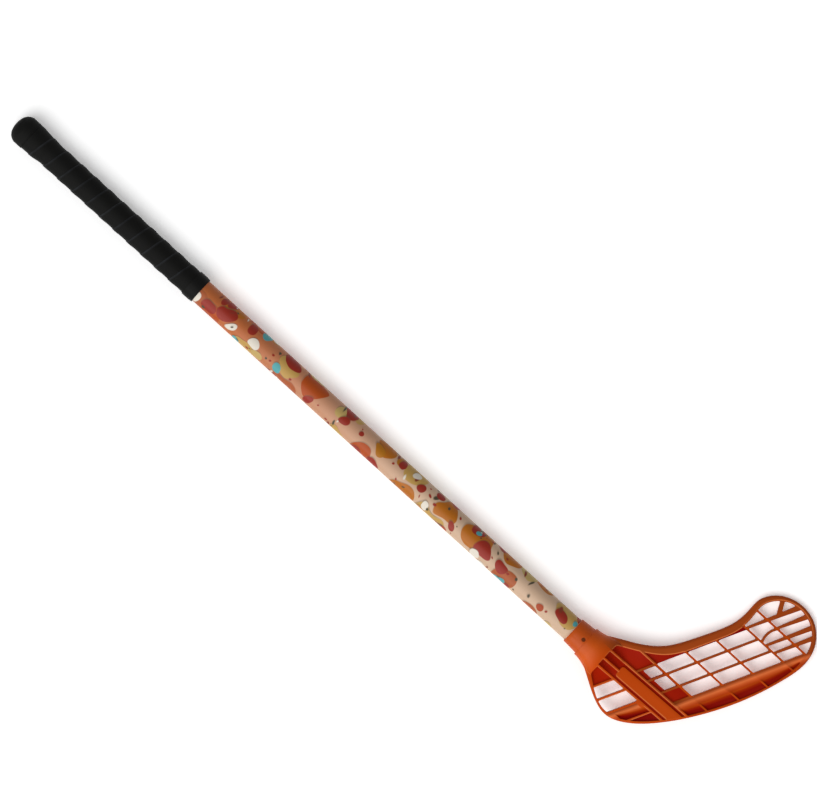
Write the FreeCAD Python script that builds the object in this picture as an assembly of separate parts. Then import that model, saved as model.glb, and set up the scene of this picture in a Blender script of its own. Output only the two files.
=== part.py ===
import FreeCAD, Part
import math
import os

# A floorball stick lying flat: a hollow shaft along X, a wound grip at the butt end,
# and a moulded openwork blade whose toe points to +Y and bends down to the floor.
# Sizes are in millimetres. The stick is drawn with X = 0 at the butt end and the
# shaft's axis at Y = Z = 0, and is moved to its own frame at the end.

V = FreeCAD.Vector
X_AXIS = V(1, 0, 0)
Z_AXIS = V(0, 0, 1)

# Shaft and its printed sleeve
SHAFT_OD = 24.0
SHAFT_WALL = 1.6
SHAFT_LENGTH = 740.0
FILM_THICKNESS = 0.15
FILM_END_GAP = 0.6

# Butt cap
CAP_DIAMETER = 29.4
CAP_LENGTH = 18.5
CAP_END_WALL = 4.0
CAP_CROWN_RADIUS = 8.0
CAP_CROWN_HEIGHT = 1.4
CAP_CORNER_DEPTH = 9.5
CAP_CORNER_FULLNESS = 0.62
SKIRT_LENGTH = 23.0
SKIRT_TOP_WALL = 1.0
SKIRT_END_WALL = 0.35
SPIGOT_LENGTH = 26.0
SPIGOT_CORE_DROP = 0.5
SPIGOT_BARB_WIDTH = 3.0
SPIGOT_BARB_PITCH = 7.0
SPIGOT_BARBS = 3
SPIGOT_BORE = 12.0
CAP_FIT = 0.05

# Grip winding
GRIP_LENGTH = 216.0
TAPE_PITCH = 17.6
TAPE_LEAD = 1.1
TAPE_GAP = 0.5
TAPE_HIGH_EDGE = 0.95
TAPE_LOW_EDGE = 0.45
TAPE_EDGE_BEVEL = 0.2
TAPE_FIT = 0.05
TAPE_END_GAP = 0.2
PATCHES_PER_TURN = 2
POINTS_PER_PATCH = 9

# Closing band at the grip's lower end
BAND_WIDTH = 12.0
BAND_OVER_TAPE = 7.5
BAND_THICKNESS = 0.3
BAND_FIT = 0.05

# Blade neck: a collar, a step and a swelling that flattens into the blade
SOCKET_DEPTH = 36.5
SOCKET_FIT = 0.1
SOCKET_END_WALL = 2.2
COLLAR_LENGTH = 16.0
COLLAR_MOUTH_WALL = 1.4
COLLAR_END_WALL = 2.4
COLLAR_MOUTH_ROUND = 0.6
NECK_STEP = 1.5
NECK_SWELL = 0.4
NECK_WIDENING = 1.8
NECK_ROUND_LENGTH = 11.0

# Neck's flattened sections: distance past the mouth, share of the blade's width, half height
NECK_FLATS = ((39.0, 0.9, 14.4), (51.0, 0.6, 9.0), (66.0, 0.35, 4.4))

# Blade plate: thickness at heel and toe, and the bend that drops the toe
RIM_HALF_HEEL = 5.4
RIM_HALF_TOE = 4.2
RIM_ROUND_TOP = 3.6
RIM_ROUND_HEEL = 1.6
GRID_RECESS = 0.8
GRID_LEDGE = 0.7
RECESS_MARGIN = 0.3
WEB_HALF = 1.2
BEND_START = -45.0
BEND_END = 165.0
TOE_DROP = 13.6

# Blade outline: distance past the neck's mouth, height above the shaft's axis, rim width
OUTLINE = (
    (24.0, 15.6, 6.0),
    (40.0, 24.4, 6.6),
    (60.0, 35.4, 7.0),
    (75.0, 48.0, 8.5),
    (89.0, 69.0, 8.8),
    (100.5, 90.0, 8.2),
    (108.5, 109.0, 7.8),
    (110.4, 125.0, 6.6),
    (111.2, 139.0, 6.2),
    (118.0, 150.5, 5.5),
    (131.0, 159.3, 4.4),
    (146.0, 162.2, 4.0),
    (165.4, 157.0, 4.0),
    (178.6, 143.4, 4.2),
    (183.4, 126.0, 4.2),
    (179.0, 100.0, 2.4),
    (164.3, 60.8, 2.2),
    (141.4, 20.0, 2.2),
    (114.6, -14.4, 2.2),
    (95.0, -31.2, 2.4),
    (76.0, -38.4, 2.6),
    (56.0, -33.0, 2.4),
    (40.0, -24.0, 4.0),
    (24.0, -15.6, 5.0),
)

# Ribs of the blade: cross ribs lie along X, long ribs lean by a fixed slope
CROSS_RIBS = (28.3, 56.0, 83.3, 110.8, 130.0)
CROSS_RIB_WIDTH = 2.0
LONG_RIB_START = 80.0
LONG_RIB_STEPS = (-0.4, 13.3, 29.9, 44.6)
LONG_RIB_HEIGHT = 29.0
LONG_RIB_SLOPE = 0.5125
LONG_RIB_WIDTH = 2.2
TOE_RIB_STEPS = (-2.2, 9.6, 22.4, 33.0)
TOE_RIB_WIDTH = 2.2
TOE_RIB_FLARE = 5.4
HOOK_RIB_FOOT = 140.0
HOOK_RIB_END = (126.5, 156.5)
HOOK_RIB_WIDTH = 4.2
ARC_RIB = ((140.6, 109.5), (138.2, 119.0), (141.6, 129.0))
SHORT_OPENING_FLOOR = 16.0
WEB_LEDGE = 0.5
OPENING_CORNER = 0.9

# Bar across the heel, its grooves and ribs, and the pockets behind the neck
BAR_START = 57.5
BAR_TOP = 6.0
BAR_BOTTOM = -5.4
BAR_SLOPE = 0.025
BAR_CORNER = 2.8
BAR_RIB_WIDTH = 2.0
BAR_RIB_TOP = 8.6
BAR_RIB_BOTTOM = -9.8
CENTRE_RIB_WIDTH = 2.0
HEEL_WEB_LEDGE = 0.7
HEEL_WEB_RIB = 2.2
POCKET_CORNER = 4.5

# Belly: a level band beside the last long rib that falls to a hollow inside a thin outer rim
BELLY_RIB_WIDTH = 1.6
BELLY_FLOOR_HALF = 1.4
BELLY_RIM_WIDTH = 2.2
BELLY_LEVEL_SHARE = 0.12
BELLY_FOOT_SHARE = 0.66
HEEL_LEVEL_SHARE = 0.04
HEEL_FOOT_SHARE = 0.45
BELLY_SLOPE_SHARE = 0.5
BELLY_SLOPE_SAG = 0.3
BELLY_STATIONS = 7
BELLY_TOP = 121.0
HEEL_BELLY_BOTTOM = -32.0

# Screw through the neck
SCREW_PLACE = 13.0
SCREW_HEAD_DIAMETER = 4.0
SCREW_HEAD_HEIGHT = 1.0
SCREW_SHANK_DIAMETER = 2.8
SCREW_LENGTH = 9.0
SCREW_POINT = 2.0
SCREW_SINK = 0.4
SCREW_FIT = 0.1
SCREW_SLOT_WIDTH = 0.6
SCREW_SLOT_LENGTH = 2.4
SCREW_SLOT_DEPTH = 0.55

# Places worked out from the sizes above
SHAFT_RADIUS = SHAFT_OD / 2
FILM_RADIUS = SHAFT_RADIUS + FILM_THICKNESS
CAP_RADIUS = CAP_DIAMETER / 2
SHAFT_START = CAP_END_WALL
SHAFT_END = SHAFT_START + SHAFT_LENGTH
MOUTH = SHAFT_END - SOCKET_DEPTH
SOCKET_RADIUS = SHAFT_RADIUS + SOCKET_FIT
SKIRT_END = CAP_LENGTH + SKIRT_LENGTH
GRIP_END = CAP_LENGTH + GRIP_LENGTH
BAND_START = GRIP_END - BAND_WIDTH
TAPE_END = BAND_START + BAND_OVER_TAPE
COLLAR_MOUTH_RADIUS = SOCKET_RADIUS + COLLAR_MOUTH_WALL
COLLAR_END_RADIUS = SOCKET_RADIUS + COLLAR_END_WALL
NECK_RADIUS = COLLAR_END_RADIUS + NECK_STEP
POCKET_START = SOCKET_DEPTH + SOCKET_END_WALL
HEEL_WEB_START = POCKET_START + HEEL_WEB_LEDGE
TALL = 2 * NECK_RADIUS
REACH = 1.3 * max(x for x, y, width in OUTLINE)


def revolved(profile):
    """Solid of revolution about the X axis from (x, radius) points, straight between them."""
    points = [V(x, radius, 0) for x, radius in profile]
    face = Part.Face(Part.makePolygon(points + points[:1]))
    return face.revolve(V(0, 0, 0), X_AXIS, 360)


def tube(start, end, inner, outer):
    """Plain round tube along X."""
    return revolved(((start, inner), (end, inner), (end, outer), (start, outer)))


def prism(points):
    """Upright prism over a closed polygon of (x, y) points, taller than the blade both ways."""
    corners = [V(x, y, -TALL) for x, y in points]
    face = Part.Face(Part.makePolygon(corners + corners[:1]))
    return face.extrude(V(0, 0, 2 * TALL))


def strip(start, end, start_width, end_width):
    """Upright wall along a straight line, which may widen from one end to the other."""
    a = V(start[0], start[1], 0)
    b = V(end[0], end[1], 0)
    side = Z_AXIS.cross(b - a).normalize()
    corners = (
        a + side * start_width / 2,
        a - side * start_width / 2,
        b - side * end_width / 2,
        b + side * end_width / 2,
    )
    return prism([(c.x, c.y) for c in corners])


def shaft_tube():
    """Hollow tube with the pilot hole for the blade's screw."""
    body = tube(SHAFT_START, SHAFT_END, SHAFT_RADIUS - SHAFT_WALL, SHAFT_RADIUS)
    hole_radius = (SCREW_SHANK_DIAMETER + SCREW_FIT) / 2
    hole = Part.makeCylinder(hole_radius, SHAFT_OD, V(MOUTH + SCREW_PLACE, 0, 0))
    return body.cut(hole)


def print_film():
    """Printed sleeve from the end of the cap's skirt to just short of the blade's mouth."""
    return tube(SKIRT_END + FILM_END_GAP, MOUTH - FILM_END_GAP, SHAFT_RADIUS, FILM_RADIUS)


def butt_cap():
    """Domed knob with a round land, a tapered skirt outside the tube and a barbed spigot inside."""
    crown_end = V(CAP_CROWN_HEIGHT, CAP_CROWN_RADIUS, 0)
    crown_middle_radius = CAP_CROWN_RADIUS / 2
    crown_middle = V(CAP_CROWN_HEIGHT / 4, crown_middle_radius, 0)
    corner_end = V(CAP_CORNER_DEPTH, CAP_RADIUS, 0)
    corner_middle = V(
        crown_end.x + (1 - CAP_CORNER_FULLNESS) * (corner_end.x - crown_end.x),
        crown_end.y + CAP_CORNER_FULLNESS * (corner_end.y - crown_end.y),
        0,
    )
    outside = SHAFT_RADIUS + CAP_FIT
    inside = SHAFT_RADIUS - SHAFT_WALL - CAP_FIT
    core = inside - SPIGOT_CORE_DROP
    spigot_end = CAP_END_WALL + SPIGOT_LENGTH
    rest = [
        (CAP_LENGTH, CAP_RADIUS),
        (CAP_LENGTH, outside + SKIRT_TOP_WALL),
        (SKIRT_END, outside + SKIRT_END_WALL),
        (SKIRT_END, outside),
        (CAP_END_WALL, outside),
        (CAP_END_WALL, core),
        (spigot_end, core),
        (spigot_end, SPIGOT_BORE / 2),
        (CAP_END_WALL, SPIGOT_BORE / 2),
        (CAP_END_WALL, 0),
    ]
    points = [V(x, radius, 0) for x, radius in rest]
    edges = [
        Part.Arc(V(0, 0, 0), crown_middle, crown_end).toShape(),
        Part.Arc(crown_end, corner_middle, corner_end).toShape(),
        Part.makeLine(corner_end, points[0]),
    ]
    for a, b in zip(points, points[1:] + [V(0, 0, 0)]):
        edges.append(Part.makeLine(a, b))
    body = Part.Face(Part.Wire(edges)).revolve(V(0, 0, 0), X_AXIS, 360)
    for number in range(SPIGOT_BARBS):
        start = CAP_END_WALL + SPIGOT_BARB_PITCH * (number + 0.5)
        barb = revolved(
            (
                (start, core - SPIGOT_CORE_DROP),
                (start + SPIGOT_BARB_WIDTH, core - SPIGOT_CORE_DROP),
                (start + SPIGOT_BARB_WIDTH, core),
                (start, inside),
            )
        )
        body = body.fuse(barb)
    return body.removeSplitter()


def tape_seat(x):
    """Radius of what the tape lies on: the cap's skirt, then the printed film."""
    top = SHAFT_RADIUS + CAP_FIT + SKIRT_TOP_WALL
    end = max(SHAFT_RADIUS + CAP_FIT + SKIRT_END_WALL, FILM_RADIUS)
    share = min(max((x - CAP_LENGTH) / SKIRT_LENGTH, 0), 1)
    return top + (end - top) * share + TAPE_FIT


def tape_section():
    """Corners of the strip across the winding: along the shaft, and above the seat."""
    width = TAPE_PITCH - TAPE_GAP
    return (
        (0, 0),
        (width, 0),
        (width, TAPE_LOW_EDGE - TAPE_EDGE_BEVEL),
        (width - TAPE_EDGE_BEVEL, TAPE_LOW_EDGE),
        (TAPE_EDGE_BEVEL, TAPE_HIGH_EDGE),
        (0, TAPE_HIGH_EDGE - TAPE_EDGE_BEVEL),
    )


def tape_point(corner, turn):
    """A corner of the strip after a number of turns of the left-hand winding."""
    along, above = corner
    x = CAP_LENGTH + TAPE_LEAD + along + TAPE_PITCH * (turn - 1)
    radius = tape_seat(x) + above
    angle = -2 * math.pi * turn
    return V(x, radius * math.cos(angle), radius * math.sin(angle))


def tape_edge(corner, patch):
    """One patch's stretch of the line that a corner of the strip draws."""
    share = 1 / (PATCHES_PER_TURN * (POINTS_PER_PATCH - 1))
    first = patch * (POINTS_PER_PATCH - 1)
    curve = Part.BSplineCurve()
    curve.interpolate([tape_point(corner, (first + i) * share) for i in range(POINTS_PER_PATCH)])
    return curve.toShape()


def grip_tape():
    """Wound strip: ruled patches between the helices of its corners, trimmed square at both ends."""
    corners = tape_section()
    turns = GRIP_LENGTH / TAPE_PITCH + 1
    patches = math.ceil(turns * PATCHES_PER_TURN)
    faces = []
    for patch in range(patches):
        edges = [tape_edge(corner, patch) for corner in corners]
        for edge, following in zip(edges, edges[1:] + edges[:1]):
            faces.append(Part.makeRuledSurface(edge, following))
    for turn in (0, patches / PATCHES_PER_TURN):
        ring = [tape_point(corner, turn) for corner in corners]
        faces.append(Part.Face(Part.makePolygon(ring + ring[:1])))
    shell = Part.makeShell(faces)
    shell.sewShape()
    wound = Part.makeSolid(shell)
    if wound.Volume < 0:
        wound.reverse()
    start = CAP_LENGTH + TAPE_END_GAP
    keep = Part.makeCylinder(CAP_DIAMETER, TAPE_END - start, V(start, 0, 0), X_AXIS)
    return wound.common(keep)


def tape_self_gap():
    """Least distance between neighbouring turns, measured on points of the facing edges."""
    corners = tape_section()
    steps = 96
    leaving = [tape_point(corners[1], 1 + i / steps) for i in range(3 * steps)]
    coming = [tape_point(corners[0], 2 + i / steps) for i in range(3 * steps)]
    return min((a - b).Length for a in leaving for b in coming)


def grip_band():
    """Closing tape, stepped from the end of the winding down onto the film."""
    step = TAPE_END + TAPE_END_GAP
    over = tape_seat(step) + TAPE_HIGH_EDGE + BAND_FIT
    under = FILM_RADIUS + BAND_FIT
    return revolved(
        (
            (BAND_START, over),
            (step, over),
            (step, under),
            (GRIP_END, under),
            (GRIP_END, over + BAND_THICKNESS - TAPE_LOW_EDGE),
            (step + BAND_THICKNESS, over + BAND_THICKNESS),
            (BAND_START, over + BAND_THICKNESS),
        )
    )


def outline_curve():
    """Smooth edge line of the blade, from the neck over the toe and back along the belly."""
    curve = Part.BSplineCurve()
    curve.interpolate([V(x, y, 0) for x, y, width in OUTLINE])
    return curve


def inner_curve(outline, margin):
    """Inner edge of the rim: each outline point moved inwards by its own rim width, less a margin."""
    points = []
    for x, y, width in OUTLINE:
        point = V(x, y, 0)
        tangent = outline.tangent(outline.parameter(point))[0]
        inwards = V(tangent.y, -tangent.x, 0)
        points.append(point + inwards * (width - margin))
    curve = Part.BSplineCurve()
    curve.interpolate(points)
    return curve


def upright(curve):
    """Upright prism inside a closed line: the curve and the straight line between its ends."""
    edge = curve.toShape()
    close = Part.makeLine(edge.valueAt(edge.LastParameter), edge.valueAt(edge.FirstParameter))
    face = Part.Face(Part.Wire([edge, close]))
    face.translate(V(0, 0, -TALL))
    return face.extrude(V(0, 0, 2 * TALL))


def bend_drop(y, total):
    """How far a surface has dropped at a height y, on an arc that starts level at BEND_START."""
    span = BEND_END - BEND_START
    radius = (span * span + total * total) / (2 * total)
    past = y - BEND_START
    return radius - math.sqrt(radius * radius - past * past)


def bent_line(half_heel, half_toe, sign):
    """Top or bottom line of a bent layer in the YZ plane: one arc that drops towards the toe."""
    total = TOE_DROP + sign * (half_heel - half_toe)
    places = (BEND_START, (BEND_START + BEND_END) / 2, BEND_END)
    return Part.Arc(*(V(0, y, sign * half_heel - bend_drop(y, total)) for y in places)).toShape()


def bent_slab(half_heel, half_toe):
    """Layer of the bent plate, wide enough to be trimmed by any upright prism of the blade."""
    top = bent_line(half_heel, half_toe, 1)
    low = bent_line(half_heel, half_toe, -1)
    toe = Part.makeLine(top.Vertexes[1].Point, low.Vertexes[1].Point)
    heel = Part.makeLine(low.Vertexes[0].Point, top.Vertexes[0].Point)
    face = Part.Face(Part.Wire([top, toe, low, heel]))
    return face.extrude(V(REACH, 0, 0))


def long_rib_x(step, y):
    """Place of a long rib at a height y."""
    return LONG_RIB_START + step + LONG_RIB_SLOPE * (y - LONG_RIB_HEIGHT)


def long_rib(step, low, high, low_width=LONG_RIB_WIDTH, high_width=LONG_RIB_WIDTH):
    """Upright wall of one leaning rib between two heights."""
    return strip((long_rib_x(step, low), low), (long_rib_x(step, high), high), low_width, high_width)


def cross_rib(y, width):
    """Upright wall of one rib that lies along the shaft's direction."""
    return strip((0, y), (REACH, y), width, width)


def arc_rib():
    """Upright curved wall between the last two cross ribs."""
    start, middle, end = (V(x, y, 0) for x, y in ARC_RIB)
    arc = Part.Arc(start, middle, end).toShape().Curve
    centre = arc.Center
    outer = Part.makeCylinder(arc.Radius + TOE_RIB_WIDTH / 2, 2 * TALL, centre - Z_AXIS * TALL)
    inner = Part.makeCylinder(arc.Radius - TOE_RIB_WIDTH / 2, 2 * TALL, centre - Z_AXIS * TALL)
    low, high = CROSS_RIBS[-2:]
    far = centre.x - 2 * arc.Radius
    window = prism(((far, low), (centre.x, low), (centre.x, high), (far, high)))
    return outer.cut(inner).common(window)


def grid_ribs():
    """All walls that cross the openwork, as upright prisms."""
    toe_low = CROSS_RIBS[-2]
    toe_high = BEND_END
    walls = [cross_rib(y, CROSS_RIB_WIDTH) for y in CROSS_RIBS]
    walls += [long_rib(step, BAR_TOP, toe_low) for step in LONG_RIB_STEPS[1:3]]
    walls.append(long_rib(TOE_RIB_STEPS[0], toe_low, toe_high, TOE_RIB_WIDTH, TOE_RIB_FLARE))
    walls.append(long_rib(TOE_RIB_STEPS[1], CROSS_RIBS[-1], toe_high, TOE_RIB_WIDTH, TOE_RIB_FLARE))
    for step in TOE_RIB_STEPS[2:]:
        walls.append(long_rib(step, toe_low, toe_high, TOE_RIB_WIDTH, TOE_RIB_FLARE))
    walls.append(arc_rib())
    foot = (long_rib_x(TOE_RIB_STEPS[0], HOOK_RIB_FOOT), HOOK_RIB_FOOT)
    walls.append(strip(foot, HOOK_RIB_END, HOOK_RIB_WIDTH, HOOK_RIB_WIDTH))
    return walls


def rounded_uprights(shape):
    """Prisms with their upright edges rounded, by less where a wall beside the edge is narrow."""
    result = []
    for solid in shape.Solids:
        upright_edges = [edge for edge in solid.Edges if edge.BoundBox.ZLength > TALL]
        narrowest = min(edge.Length for edge in solid.Edges if edge.BoundBox.ZLength < TALL)
        result.append(solid.makeFillet(min(OPENING_CORNER, narrowest / 3), upright_edges))
    return result


def openings(inside):
    """Through openings: the openwork's field inside the rim, less its ribs, and the two heel slots."""
    first, second, third, fourth = LONG_RIB_STEPS
    field = prism(
        (
            (long_rib_x(first, CROSS_RIBS[0]), CROSS_RIBS[0]),
            (long_rib_x(fourth, CROSS_RIBS[0]), CROSS_RIBS[0]),
            (long_rib_x(fourth, CROSS_RIBS[-1]), CROSS_RIBS[-1]),
            (REACH, CROSS_RIBS[-1]),
            (REACH, BEND_END),
            (OUTLINE[0][0], BEND_END),
            (OUTLINE[0][0], CROSS_RIBS[3]),
            (long_rib_x(first, CROSS_RIBS[3]), CROSS_RIBS[3]),
        )
    )
    bottom = BEND_START
    left = (long_rib_x(first, 0), 0)
    right = (long_rib_x(third, 0) - LONG_RIB_WIDTH / 2, 0)
    right_foot = (long_rib_x(third, bottom) - LONG_RIB_WIDTH / 2, bottom)
    slots = prism((left, right, right_foot, (long_rib_x(first, bottom), bottom)))
    under_bar = leaning_band(0, REACH, -REACH, BAR_RIB_BOTTOM)
    holes = field.common(inside).cut(grid_ribs())
    edge = LONG_RIB_WIDTH / 2 + WEB_LEDGE
    high = CROSS_RIBS[0] - CROSS_RIB_WIDTH / 2 - WEB_LEDGE
    short = []
    for left_step, right_step in ((first, second), (second, third)):
        short.append(column(left_step + edge, right_step - edge, SHORT_OPENING_FLOOR, high))
    heel = slots.common(inside).common(under_bar).cut(long_rib(second, bottom, BAR_TOP))
    return rounded_uprights(Part.makeCompound([holes, heel] + short))


def outline_y(outline, x, sign):
    """Height of the blade's edge above or below the shaft's axis at a distance x."""
    ray = Part.makeLine(V(x, 0, 0), V(x, sign * REACH, 0))
    return outline.toShape().distToShape(ray)[1][0][0].y


def belly_x(outline, x, y):
    """Distance of the blade's outer edge at a height y, looking outwards from x."""
    ray = Part.makeLine(V(x, y, 0), V(x + REACH, y, 0))
    return outline.toShape().distToShape(ray)[1][0][0].x


def neck_section(x, y, half_width, half_height):
    """Upright ellipse across the neck, centred at a height y over the shaft's axis."""
    centre = V(x, y, 0)
    ellipse = Part.Ellipse(centre + V(0, half_width, 0), centre + V(0, 0, half_height), centre)
    return Part.Wire(ellipse.toShape())


def neck(outline):
    """Swelling behind the collar's step: round at first, then flattening out to the blade's edges."""
    sections = [neck_section(COLLAR_LENGTH, 0, NECK_RADIUS, NECK_RADIUS)]
    for share in (0.5, 1):
        half_width = NECK_RADIUS + NECK_WIDENING * share * share
        half_height = NECK_RADIUS + NECK_SWELL * share
        sections.append(neck_section(COLLAR_LENGTH + NECK_ROUND_LENGTH * share, 0, half_width, half_height))
    for x, share, half_height in NECK_FLATS:
        top = outline_y(outline, x, 1)
        bottom = outline_y(outline, x, -1)
        sections.append(neck_section(x, (top + bottom) / 2, share * (top - bottom) / 2, half_height))
    return Part.makeLoft(sections, True)


def collar():
    """Straight-sided mouth of the neck, with a rounded lip."""
    lip = COLLAR_MOUTH_ROUND
    return revolved(
        (
            (0, 0),
            (0, COLLAR_MOUTH_RADIUS - lip),
            (lip, COLLAR_MOUTH_RADIUS),
            (COLLAR_LENGTH, COLLAR_END_RADIUS),
            (COLLAR_LENGTH + lip, COLLAR_END_RADIUS),
            (COLLAR_LENGTH + lip, 0),
        )
    )


def plate(outline):
    """Bent plate inside the outline, whose rim is rounded more at the neck's upper side than at the heel."""
    flat = upright(outline).common(bent_slab(RIM_HALF_HEEL, RIM_HALF_TOE))
    rim = [edge for edge in flat.Edges if edge.Length > REACH]
    return flat.makeFillet(RIM_ROUND_HEEL, RIM_ROUND_TOP, rim)


def leaning_band(start, end, low, high):
    """Upright prism between two distances along X, whose lower and upper sides lean with the bar."""
    corners = []
    for x, y in ((start, low), (end, low), (end, high), (start, high)):
        corners.append((x, y + BAR_SLOPE * (x - POCKET_START)))
    return prism(corners)


def uprights_before(solid, x):
    """Upright edges of a prism that lie nearer to the neck's mouth than a distance x."""
    return [edge for edge in solid.Edges if edge.BoundBox.ZLength > TALL and edge.BoundBox.XMax < x]


def bar():
    """Flat bar across the heel, out past the blade's edge, with its two free corners rounded."""
    solid = leaning_band(BAR_START, REACH, BAR_BOTTOM, BAR_TOP)
    return solid.makeFillet(BAR_CORNER, uprights_before(solid, BAR_START + BAR_CORNER))


def trough(inside):
    """Recess between the ribs beside the bar, from the neck's end to the rim, less bar and centre rib."""
    space = leaning_band(POCKET_START, REACH, BAR_RIB_BOTTOM + BAR_RIB_WIDTH, BAR_RIB_TOP)
    centre = leaning_band(POCKET_START, BAR_START + BAR_CORNER, -CENTRE_RIB_WIDTH / 2, CENTRE_RIB_WIDTH / 2)
    return space.common(inside).cut([bar(), centre])


def column(left, right, low, high):
    """Upright prism between two long ribs and two heights."""
    return prism(
        (
            (long_rib_x(left, low), low),
            (long_rib_x(right, low), low),
            (long_rib_x(right, high), high),
            (long_rib_x(left, high), high),
        )
    )


def eased_corner(area, side):
    """Pocket behind the neck, with its upright edge between the neck and the rim rounded."""
    solid = area.Solids[0]
    beside_neck = uprights_before(solid, HEEL_WEB_START + RIM_ROUND_TOP)
    corner = max(beside_neck, key=lambda edge: side * edge.BoundBox.YMax)
    return solid.makeFillet(POCKET_CORNER, [corner])


def pockets(inside):
    """Areas moulded down to the thin web, as upright prisms: round the bar, beside the rim, by the heel."""
    first, second, third, fourth = LONG_RIB_STEPS
    rib = LONG_RIB_WIDTH / 2
    row = CROSS_RIBS[0] - CROSS_RIB_WIDTH / 2
    over_bar = leaning_band(HEEL_WEB_START, REACH, BAR_RIB_TOP + BAR_RIB_WIDTH, REACH)
    under_bar = leaning_band(HEEL_WEB_START, REACH, -REACH, BAR_RIB_BOTTOM)
    to_neck = -REACH

    over = column(to_neck, first - rib, 0, row).common(over_bar).common(inside)
    under = column(to_neck, first - HEEL_WEB_RIB, BEND_START, 0).common(under_bar).common(inside)
    areas = [trough(inside), eased_corner(over, 1), eased_corner(under, -1)]
    for left, right in ((first, second), (second, third), (third, fourth)):
        areas.append(column(left + rib, right - rib, 0, row).common(over_bar))
    for low, high in zip(CROSS_RIBS[:3], CROSS_RIBS[1:4]):
        beside = column(to_neck, first, low + CROSS_RIB_WIDTH / 2, high - CROSS_RIB_WIDTH / 2)
        areas.append(beside.common(inside))
    return areas


def belly_section(outline, step, y, shares, sign):
    """Section of a hollow at a height y: a curve that falls from over the rim to a level floor."""
    left = long_rib_x(step, y) + LONG_RIB_WIDTH / 2
    edge = belly_x(outline, left, y)
    start, foot = (left + (edge - left) * share for share in shares)
    middle = -bend_drop(y, TOE_DROP)
    high = middle + sign * 2 * RIM_HALF_HEEL
    floor = middle + sign * BELLY_FLOOR_HALF
    end = edge + BELLY_RIM_WIDTH
    clear = sign * TALL
    slope_x = start + (foot - start) * BELLY_SLOPE_SHARE
    slope_z = floor + (high - floor) * BELLY_SLOPE_SAG
    slope = Part.Arc(V(start, y, high), V(slope_x, y, slope_z), V(foot, y, floor)).toShape()
    rest = ((foot, floor), (end, floor), (end, clear), (start, clear), (start, high))
    return Part.Wire([slope] + Part.makePolygon([V(x, y, z) for x, z in rest]).Edges)


def belly_cutter(outline, step, low, high, shares, sign):
    """Hollow beside a long rib, lofted through sections between two heights."""
    sections = []
    for number in range(BELLY_STATIONS):
        y = low + (high - low) * number / (BELLY_STATIONS - 1)
        sections.append(belly_section(outline, step, y, shares, sign))
    return Part.makeLoft(sections, True)


def belly_hollows(outline, inside):
    """Hollows on both faces along the belly and under the bar, crossed by thin ribs."""
    third, fourth = LONG_RIB_STEPS[2:]
    cross_ribs = [cross_rib(y, BELLY_RIB_WIDTH) for y in CROSS_RIBS]
    heel_rib = long_rib(fourth, BEND_START, BAR_TOP, BELLY_RIB_WIDTH, BELLY_RIB_WIDTH)
    over_bar = leaning_band(0, REACH, BAR_RIB_TOP + BAR_RIB_WIDTH, REACH)
    under_bar = leaning_band(0, REACH, -REACH, BAR_RIB_BOTTOM)
    belly_shares = (BELLY_LEVEL_SHARE, BELLY_FOOT_SHARE)
    heel_shares = (HEEL_LEVEL_SHARE, HEEL_FOOT_SHARE)
    hollows = []
    for sign in (1, -1):
        belly = belly_cutter(outline, fourth, BAR_RIB_TOP, BELLY_TOP, belly_shares, sign)
        hollows.append(belly.common(inside).common(over_bar).cut(cross_ribs))
        heel = belly_cutter(outline, third, HEEL_BELLY_BOTTOM, 0, heel_shares, sign)
        hollows.append(heel.common(inside).common(under_bar).cut(heel_rib))
    return hollows


def grid_recess(inside):
    """Layer over the openwork and the belly's level band, which lie lower than the rim."""
    left = LONG_RIB_STEPS[0] - LONG_RIB_WIDTH / 2 - RECESS_MARGIN
    toe_start = CROSS_RIBS[3] - CROSS_RIB_WIDTH / 2 - RECESS_MARGIN
    area = prism(
        (
            (long_rib_x(left, 0), 0),
            (REACH, 0),
            (REACH, BEND_END),
            (0, BEND_END),
            (0, toe_start),
            (long_rib_x(left, toe_start), toe_start),
        )
    )
    over_bar = leaning_band(0, REACH, BAR_RIB_TOP + BAR_RIB_WIDTH + RECESS_MARGIN, REACH)
    layer = bent_slab(RIM_HALF_HEEL - GRID_RECESS, RIM_HALF_TOE - GRID_RECESS)
    return area.common(over_bar).common(inside).cut(layer)


def bar_clearance():
    """Space over the bar and its grooves, where the neck's swelling is cut back to the rim's level."""
    space = leaning_band(BAR_START, REACH, BAR_RIB_BOTTOM + BAR_RIB_WIDTH, BAR_RIB_TOP)
    return space.cut(bent_slab(RIM_HALF_HEEL, RIM_HALF_TOE))


def screw_seat():
    """Sunk hole for the screw: a counterbore for the head and a hole for the shank."""
    top = collar_height(SCREW_PLACE)
    seat = top - SCREW_SINK - SCREW_HEAD_HEIGHT
    head = Part.makeCylinder((SCREW_HEAD_DIAMETER + SCREW_FIT) / 2, TALL, V(SCREW_PLACE, 0, seat))
    shank = Part.makeCylinder((SCREW_SHANK_DIAMETER + SCREW_FIT) / 2, TALL, V(SCREW_PLACE, 0, 0))
    return head.fuse(shank)


def collar_height(x):
    """Radius of the collar at a distance past the mouth."""
    share = (x - COLLAR_MOUTH_ROUND) / (COLLAR_LENGTH - COLLAR_MOUTH_ROUND)
    return COLLAR_MOUTH_RADIUS + (COLLAR_END_RADIUS - COLLAR_MOUTH_RADIUS) * share


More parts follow.
